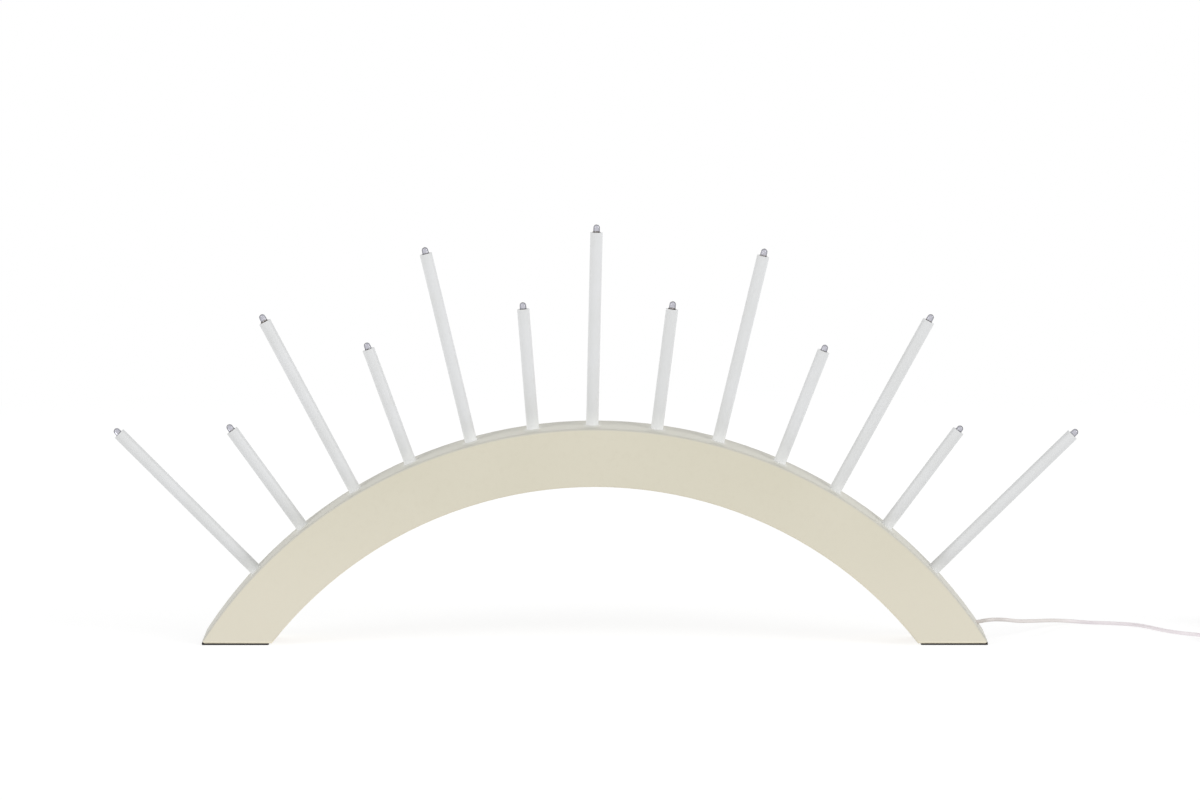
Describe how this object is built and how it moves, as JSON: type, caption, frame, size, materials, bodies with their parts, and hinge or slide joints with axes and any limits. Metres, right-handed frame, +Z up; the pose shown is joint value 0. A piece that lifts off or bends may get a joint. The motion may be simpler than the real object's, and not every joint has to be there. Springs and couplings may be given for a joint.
{
  "type": "electric candle arch",
  "caption": "Electric candle arch: a lacquered band on two flat feet carries a fan of long and short white candle tubes with clear diode tips, fed by a thin lead from a plug-in power unit.",
  "frame": {"origin": "on the surface that the arch stands on, in the middle between its two feet and halfway through the band's depth", "axes": "+X to the right along the arch, +Y to the back through the band's depth, +Z up"},
  "size_m": [0.866, 0.1176, 0.305],
  "materials": {
    "lacquered_band": "cream lacquer, semi-gloss, on fibreboard",
    "fibreboard_strip": "bare brown fibreboard, matt",
    "steel_screw": "zinc-plated, satin",
    "rubber_pad": "matt black-brown rubber",
    "tube_plastic": "white tube plastic, slightly translucent, satin gloss",
    "holder_plastic": "brown moulded insulating plastic",
    "clear_epoxy": "clear moulded epoxy, glossy",
    "wire_insulation": "thin soft insulation",
    "shrink_sleeve": "black shrunk sleeve",
    "bush_plastic": "moulded plastic in the band's colour",
    "lead_jacket": "soft white jacket with a pink tinge, satin",
    "tie_plastic": "white nylon",
    "unit_plastic": "white moulded plastic, fine sparkle texture",
    "pin_metal": "nickel-plated brass"
  },
  "bodies": {
    "root": {"arch_body": "lacquered_band", "channel_cover": "fibreboard_strip", "cover_screws": "steel_screw", "foot_pad_left": "rubber_pad", "foot_pad_right": "rubber_pad", "candle_tube_01": "tube_plastic", "candle_tube_02": "tube_plastic", "candle_tube_03": "tube_plastic", "candle_tube_04": "tube_plastic", "candle_tube_05": "tube_plastic", "candle_tube_06": "tube_plastic", "candle_tube_07": "tube_plastic", "candle_tube_08": "tube_plastic", "candle_tube_09": "tube_plastic", "candle_tube_10": "tube_plastic", "candle_tube_11": "tube_plastic", "candle_tube_12": "tube_plastic", "candle_tube_13": "tube_plastic", "led_holder_01": "holder_plastic", "led_holder_02": "holder_plastic", "led_holder_03": "holder_plastic", "led_holder_04": "holder_plastic", "led_holder_05": "holder_plastic", "led_holder_06": "holder_plastic", "led_holder_07": "holder_plastic", "led_holder_08": "holder_plastic", "led_holder_09": "holder_plastic", "led_holder_10": "holder_plastic", "led_holder_11": "holder_plastic", "led_holder_12": "holder_plastic", "led_holder_13": "holder_plastic", "led_01": "clear_epoxy", "led_02": "clear_epoxy", "led_03": "clear_epoxy", "led_04": "clear_epoxy", "led_05": "clear_epoxy", "led_06": "clear_epoxy", "led_07": "clear_epoxy", "led_08": "clear_epoxy", "led_09": "clear_epoxy", "led_10": "clear_epoxy", "led_11": "clear_epoxy", "led_12": "clear_epoxy", "led_13": "clear_epoxy", "wire_loom": "wire_insulation", "splice_sleeve": "shrink_sleeve", "cord_bush": "bush_plastic", "cord_tail": "lead_jacket", "power_cord": "lead_jacket", "cord_coil": "lead_jacket", "cord_ties": "tie_plastic", "cord_relief": "unit_plastic", "adapter_case": "unit_plastic", "adapter_plate": "unit_plastic", "adapter_pins": "pin_metal"}
  },
  "joints": []
}
